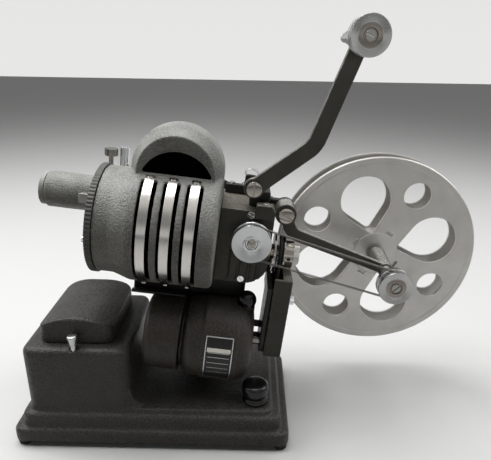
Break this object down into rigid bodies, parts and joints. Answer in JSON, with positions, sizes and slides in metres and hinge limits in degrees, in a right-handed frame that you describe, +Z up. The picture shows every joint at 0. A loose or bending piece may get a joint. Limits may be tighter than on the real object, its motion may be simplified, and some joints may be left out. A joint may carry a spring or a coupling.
{
  "type": "film projector",
  "caption": "Table-top reel film projector: cast base with speed knob, tilting head with drum lamphouse, lens tube, motor, gearbox, spring belt, reel arms and an empty reel",
  "frame": {"origin": "under the middle of the base, on the surface it stands on", "axes": "+X towards the reel, +Y towards the reel's and lens's side, +Z up"},
  "size_m": [0.3912, 0.1317, 0.3268],
  "materials": {
    "base_casting": "crackle",
    "bottom_plate": "satin",
    "rubber_feet": "matte",
    "resistor_cover": "crackle",
    "transformer": "dull",
    "resistors": "matte",
    "mains_inlet": "gloss",
    "support_column": "satin",
    "tilt_knob": "gloss",
    "rheostat_knob": "gloss",
    "power_button": "polished",
    "lamphouse": "hammertone",
    "cooling_strips": "satin",
    "inner_baffles": "matte",
    "lamp_socket": "satin",
    "lamp_bulb": "clear",
    "mirrors": "polished",
    "condenser_lenses": "clear",
    "main_plate": "hammertone",
    "mirror_box": "satin",
    "gate_block": "satin",
    "lens_sleeve": "hammertone",
    "gearbox_housing": "satin, worn edges",
    "slotted_screws": "polished",
    "arm_bracket": "satin",
    "pivot_screws": "polished",
    "bearing_bushes": "satin",
    "motor_fan_housing": "hammertone",
    "motor_body": "hammertone",
    "nameplate": "satin, bright border",
    "brush_caps": "gloss",
    "head_cradle": "satin",
    "belt_guard": "satin, worn edges",
    "drive_belt": "satin",
    "motor_belt": "matte",
    "film_guides": "satin",
    "end_cover": "hammertone",
    "end_cover_screws": "polished",
    "upper_arm": "satin, worn edges",
    "upper_spindle": "satin",
    "upper_pulley": "polished",
    "lower_arm": "satin, worn edges",
    "takeup_spindle": "satin",
    "takeup_pulley": "polished",
    "reel": "satin",
    "cross_shaft": "satin",
    "drive_pulley": "polished",
    "main_sprocket": "satin",
    "main_shaft": "satin",
    "shaft_wheel": "satin",
    "inching_knob": "polished",
    "motor_rotor": "satin",
    "lens_barrel": "satin",
    "lens_glass": "clear",
    "focus_knob": "polished",
    "gate_plunger": "polished",
    "pressure_plate": "polished",
    "shutter_disc": "satin",
    "shutter_drive": "satin",
    "claw": "satin"
  },
  "bodies": {
    "base": {"base_casting": "base_casting", "bottom_plate": "bottom_plate", "rubber_feet": "rubber_feet", "resistor_cover": "resistor_cover", "transformer": "transformer", "resistors": "resistors", "mains_inlet": "mains_inlet", "support_column": "support_column"},
    "tilt_clamp": {"tilt_knob": "tilt_knob"},
    "speed_control": {"rheostat_knob": "rheostat_knob"},
    "power_switch": {"power_button": "power_button"},
    "head": {"lamphouse": "lamphouse", "cooling_strips": "cooling_strips", "inner_baffles": "inner_baffles", "lamp_socket": "lamp_socket", "lamp_bulb": "lamp_bulb", "mirrors": "mirrors", "condenser_lenses": "condenser_lenses", "main_plate": "main_plate", "mirror_box": "mirror_box", "gate_block": "gate_block", "lens_sleeve": "lens_sleeve", "gearbox_housing": "gearbox_housing", "slotted_screws": "slotted_screws", "arm_bracket": "arm_bracket", "pivot_screws": "pivot_screws", "bearing_bushes": "bearing_bushes", "motor_fan_housing": "motor_fan_housing", "motor_body": "motor_body", "nameplate": "nameplate", "brush_caps": "brush_caps", "head_cradle": "head_cradle", "belt_guard": "belt_guard", "drive_belt": "drive_belt", "motor_belt": "motor_belt", "film_guides": "film_guides"},
    "cover": {"end_cover": "end_cover", "end_cover_screws": "end_cover_screws"},
    "feed_arm": {"upper_arm": "upper_arm"},
    "feed_spindle": {"upper_spindle": "upper_spindle", "upper_pulley": "upper_pulley"},
    "takeup_arm": {"lower_arm": "lower_arm"},
    "takeup": {"takeup_spindle": "takeup_spindle", "takeup_pulley": "takeup_pulley", "reel": "reel"},
    "cross": {"cross_shaft": "cross_shaft", "drive_pulley": "drive_pulley", "main_sprocket": "main_sprocket"},
    "main": {"main_shaft": "main_shaft", "shaft_wheel": "shaft_wheel", "inching_knob": "inching_knob"},
    "rotor": {"motor_rotor": "motor_rotor"},
    "lens": {"lens_barrel": "lens_barrel", "lens_glass": "lens_glass"},
    "focus": {"focus_knob": "focus_knob"},
    "plunger": {"gate_plunger": "gate_plunger"},
    "presser": {"pressure_plate": "pressure_plate"},
    "shutter": {"shutter_disc": "shutter_disc"},
    "drive": {"shutter_drive": "shutter_drive"},
    "puller": {"claw": "claw"}
  },
  "joints": [
    {"name": "head_tilt", "type": "hinge", "parent": "base", "child": "head", "pos_m": [0.03, 0.031, 0.095], "axis": [0, 1, 0], "range_deg": [-6.3, 1.5]},
    {"name": "tilt_knob_turn", "type": "hinge", "parent": "base", "child": "tilt_clamp", "pos_m": [0.03, 0.05, 0.095], "axis": [0, 1, 0], "range_deg": [-120, 0]},
    {"name": "speed_knob_turn", "type": "hinge", "parent": "base", "child": "speed_control", "pos_m": [0.0832, -0.0335, 0.04], "axis": [0, 0, 1], "range_deg": [0, 270]},
    {"name": "power_push", "type": "slide", "parent": "base", "child": "power_switch", "axis": [0, 0, -1], "range_m": [0, 0.003], "stiffness_N_per_m": 300, "springref_m": -0.0005},
    {"name": "cover_twist", "type": "hinge", "parent": "head", "child": "cover", "pos_m": [-0.03744, -0.005, 0.18015], "axis": [0.994, 0, -0.1097], "range_deg": [0, 30]},
    {"name": "upper_arm_fold", "type": "hinge", "parent": "head", "child": "feed_arm", "pos_m": [0.07883, 0.0025, 0.20353], "axis": [0, 1, 0], "range_deg": [-40, 40]},
    {"name": "upper_spindle_spin", "type": "hinge", "parent": "feed_arm", "child": "feed_spindle", "pos_m": [0.152, 0.01, 0.31317], "axis": [0, 1, 0], "continuous": true},
    {"name": "lower_arm_fold", "type": "hinge", "parent": "head", "child": "takeup_arm", "pos_m": [0.10461, 0.0165, 0.18188], "axis": [0, 1, 0], "range_deg": [-45, 0], "deforming": ["drive_belt"]},
    {"name": "takeup_spin", "type": "hinge", "parent": "takeup_arm", "child": "takeup", "pos_m": [0.19119, 0.03, 0.13046], "axis": [0, 1, 0], "continuous": true},
    {"name": "cross_shaft_spin", "type": "hinge", "parent": "head", "child": "cross", "pos_m": [0.07767, 0.02, 0.16573], "axis": [0, 1, 0], "continuous": true},
    {"name": "main_shaft_spin", "type": "hinge", "parent": "head", "child": "main", "pos_m": [0.08792, 0.006, 0.14921], "axis": [0.994, 0, -0.1097], "continuous": true},
    {"name": "motor_spin", "type": "hinge", "parent": "head", "child": "rotor", "pos_m": [0.04972, -0.008, 0.07656], "axis": [0.994, 0, -0.1097], "continuous": true},
    {"name": "shutter_spin", "type": "hinge", "parent": "head", "child": "shutter", "pos_m": [0.04169, 0.045, 0.16789], "axis": [0, 1, 0], "continuous": true},
    {"name": "shutter_drive_spin", "type": "hinge", "parent": "head", "child": "drive", "pos_m": [0.06014, 0.02, 0.16234], "axis": [0, 1, 0], "continuous": true},
    {"name": "claw_slide", "type": "slide", "parent": "head", "child": "puller", "axis": [0.1097, 0, 0.994], "range_m": [-0.004, 0.0036]},
    {"name": "lens_slide", "type": "slide", "parent": "head", "child": "lens", "axis": [-0.994, 0, 0.1097], "range_m": [-0.0007, 0.008]},
    {"name": "focus_turn", "type": "hinge", "parent": "head", "child": "focus", "pos_m": [-0.04541, 0.055, 0.2082], "axis": [0.1097, 0, 0.994], "range_deg": [-11, 116]},
    {"name": "plunger_push", "type": "slide", "parent": "head", "child": "plunger", "axis": [-0.1097, 0, -0.994], "range_m": [0, 0.0035], "stiffness_N_per_m": 250, "springref_m": -0.0008},
    {"name": "pressure_plate_slide", "type": "slide", "parent": "head", "child": "presser", "axis": [-0.994, 0, 0.1097], "range_m": [0, 0.003]}
  ],
  "couplings": [
    {"joint": "main_shaft_spin", "follows": "motor_spin", "ratio": 0.3194},
    {"joint": "shutter_drive_spin", "follows": "motor_spin", "ratio": 0.28746},
    {"joint": "shutter_spin", "follows": "motor_spin", "ratio": -0.25584},
    {"joint": "cross_shaft_spin", "follows": "motor_spin", "ratio": 0.021293},
    {"joint": "takeup_spin", "follows": "motor_spin", "ratio": 0.024746},
    {"joint": "focus_turn", "follows": "lens_slide", "rad_per_m": 250},
    {"joint": "pressure_plate_slide", "follows": "plunger_push", "ratio": 0.8}
  ]
}
